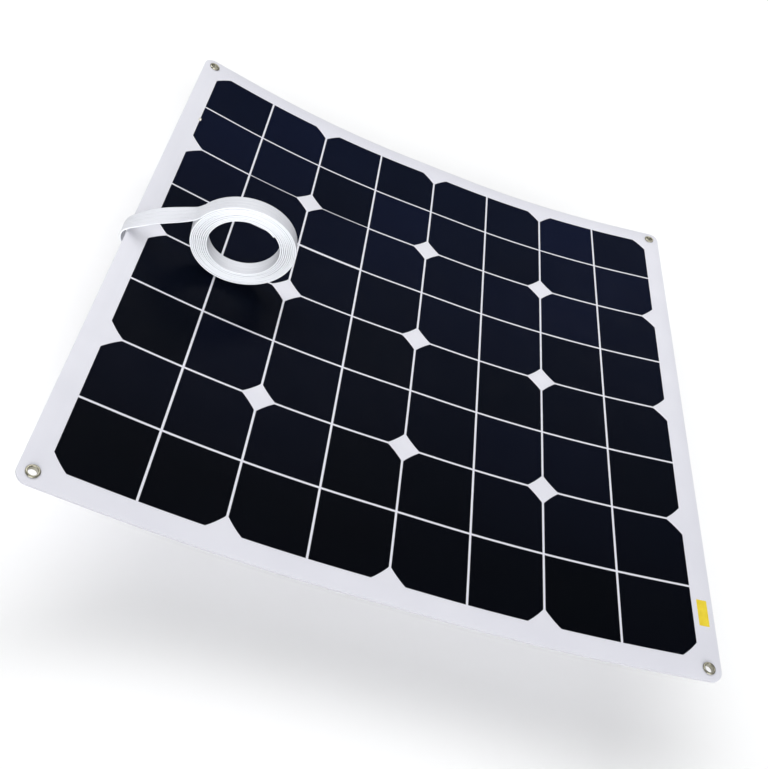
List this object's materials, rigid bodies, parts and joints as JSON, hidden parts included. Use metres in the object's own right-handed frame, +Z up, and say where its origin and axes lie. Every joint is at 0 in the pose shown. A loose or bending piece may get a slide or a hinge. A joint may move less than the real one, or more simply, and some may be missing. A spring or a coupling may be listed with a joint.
{
  "type": "flexible solar sheet",
  "caption": "Thin bendable solar sheet with dark quarter cells on white, corner eyelets, a rear junction box and a flat lead rolled up on its front.",
  "frame": {"origin": "middle of the sheet in plan, on the surface that its flat middle lies on", "axes": "+X across the columns, to the side away from the lead; +Y along the bend lines, away from the viewer; +Z up, out of the cell side"},
  "size_m": [0.5527, 0.55, 0.1003],
  "materials": {
    "white_backsheet": "satin white",
    "clear_encapsulant": "milky clear",
    "silicon_cell": "dark blue-black, smooth",
    "front_film": "clear film, soft sheen",
    "nickel_plate": "nickel plate, slightly tarnished",
    "box_plastic": "fine texture, black",
    "adhesive_foam": "foam tape",
    "gasket_rubber": "matte black",
    "screw_steel": "zinc plated",
    "tinned_copper": "tinned copper",
    "terminal_brass": "plain brass",
    "diode_epoxy": "black epoxy",
    "cable_sheath": "soft white sheath, ribbed along its length"
  },
  "bodies": {
    "strip_4": {"backsheet_4": "white_backsheet", "rear_encapsulant_4": "clear_encapsulant", "cell_string_4": "silicon_cell", "front_film_4": "front_film"},
    "strip_5": {"backsheet_5": "white_backsheet", "rear_encapsulant_5": "clear_encapsulant", "cell_string_5": "silicon_cell", "front_film_5": "front_film"},
    "strip_6": {"backsheet_6": "white_backsheet", "rear_encapsulant_6": "clear_encapsulant", "cell_string_6": "silicon_cell", "front_film_6": "front_film"},
    "strip_7": {"backsheet_7": "white_backsheet", "rear_encapsulant_7": "clear_encapsulant", "cell_string_7": "silicon_cell", "front_film_7": "front_film"},
    "strip_8": {"backsheet_8": "white_backsheet", "rear_encapsulant_8": "clear_encapsulant", "cell_string_8": "silicon_cell", "front_film_8": "front_film", "eyelet_near_right": "nickel_plate", "eyelet_far_right": "nickel_plate", "eyelet_washer_near_right": "nickel_plate", "eyelet_washer_far_right": "nickel_plate"},
    "strip_3": {"backsheet_3": "white_backsheet", "rear_encapsulant_3": "clear_encapsulant", "cell_string_3": "silicon_cell", "front_film_3": "front_film"},
    "strip_2": {"backsheet_2": "white_backsheet", "rear_encapsulant_2": "clear_encapsulant", "cell_string_2": "silicon_cell", "front_film_2": "front_film", "cable_coil": "cable_sheath"},
    "strip_1": {"backsheet_1": "white_backsheet", "rear_encapsulant_1": "clear_encapsulant", "cell_string_1": "silicon_cell", "front_film_1": "front_film", "eyelet_near_left": "nickel_plate", "eyelet_far_left": "nickel_plate", "eyelet_washer_near_left": "nickel_plate", "eyelet_washer_far_left": "nickel_plate", "box_adhesive_pad": "adhesive_foam", "box_base": "box_plastic", "box_gasket": "gasket_rubber", "box_lid": "box_plastic", "box_screw_1": "screw_steel", "box_screw_2": "screw_steel", "box_screw_3": "screw_steel", "box_screw_4": "screw_steel", "bus_ribbon_pos": "tinned_copper", "bus_ribbon_neg": "tinned_copper", "terminal_pos": "terminal_brass", "terminal_neg": "terminal_brass", "bypass_diode": "diode_epoxy", "cable_tail_pos": "cable_sheath", "cable_tail_neg": "cable_sheath", "cable_clamp": "box_plastic", "cable_collar": "box_plastic", "cable_run": "cable_sheath"}
  },
  "joints": [
    {"name": "bend_4_5", "type": "hinge", "parent": "strip_4", "child": "strip_5", "pos_m": [0, 0, 0.00137], "axis": [0, 1, 0], "range_deg": [-1.6, 7], "stiffness_Nm_per_rad": 33},
    {"name": "bend_5_6", "type": "hinge", "parent": "strip_5", "child": "strip_6", "pos_m": [0.0645, 0, 0.00137], "axis": [0, 1, 0], "range_deg": [-1.6, 7], "stiffness_Nm_per_rad": 33},
    {"name": "bend_6_7", "type": "hinge", "parent": "strip_6", "child": "strip_7", "pos_m": [0.1289, 0, 0.00492], "axis": [0, 1, 0], "range_deg": [-1.6, 7], "stiffness_Nm_per_rad": 33},
    {"name": "bend_7_8", "type": "hinge", "parent": "strip_7", "child": "strip_8", "pos_m": [0.19301, 0, 0.012], "axis": [0, 1, 0], "range_deg": [-1.6, 7], "stiffness_Nm_per_rad": 33},
    {"name": "bend_3_4", "type": "hinge", "parent": "strip_4", "child": "strip_3", "pos_m": [-0.0645, 0, 0.00137], "axis": [0, -1, 0], "range_deg": [-1.6, 7], "stiffness_Nm_per_rad": 33},
    {"name": "bend_2_3", "type": "hinge", "parent": "strip_3", "child": "strip_2", "pos_m": [-0.1289, 0, 0.00492], "axis": [0, -1, 0], "range_deg": [-1.6, 7], "stiffness_Nm_per_rad": 33},
    {"name": "bend_1_2", "type": "hinge", "parent": "strip_2", "child": "strip_1", "pos_m": [-0.19301, 0, 0.012], "axis": [0, -1, 0], "range_deg": [-1.6, 7], "stiffness_Nm_per_rad": 33, "deforming": ["cable_run"]}
  ],
  "couplings": [
    {"joint": "bend_5_6", "follows": "bend_4_5", "ratio": 1},
    {"joint": "bend_6_7", "follows": "bend_4_5", "ratio": 1},
    {"joint": "bend_7_8", "follows": "bend_4_5", "ratio": 1},
    {"joint": "bend_3_4", "follows": "bend_4_5", "ratio": 1},
    {"joint": "bend_2_3", "follows": "bend_4_5", "ratio": 1},
    {"joint": "bend_1_2", "follows": "bend_4_5", "ratio": 1}
  ]
}
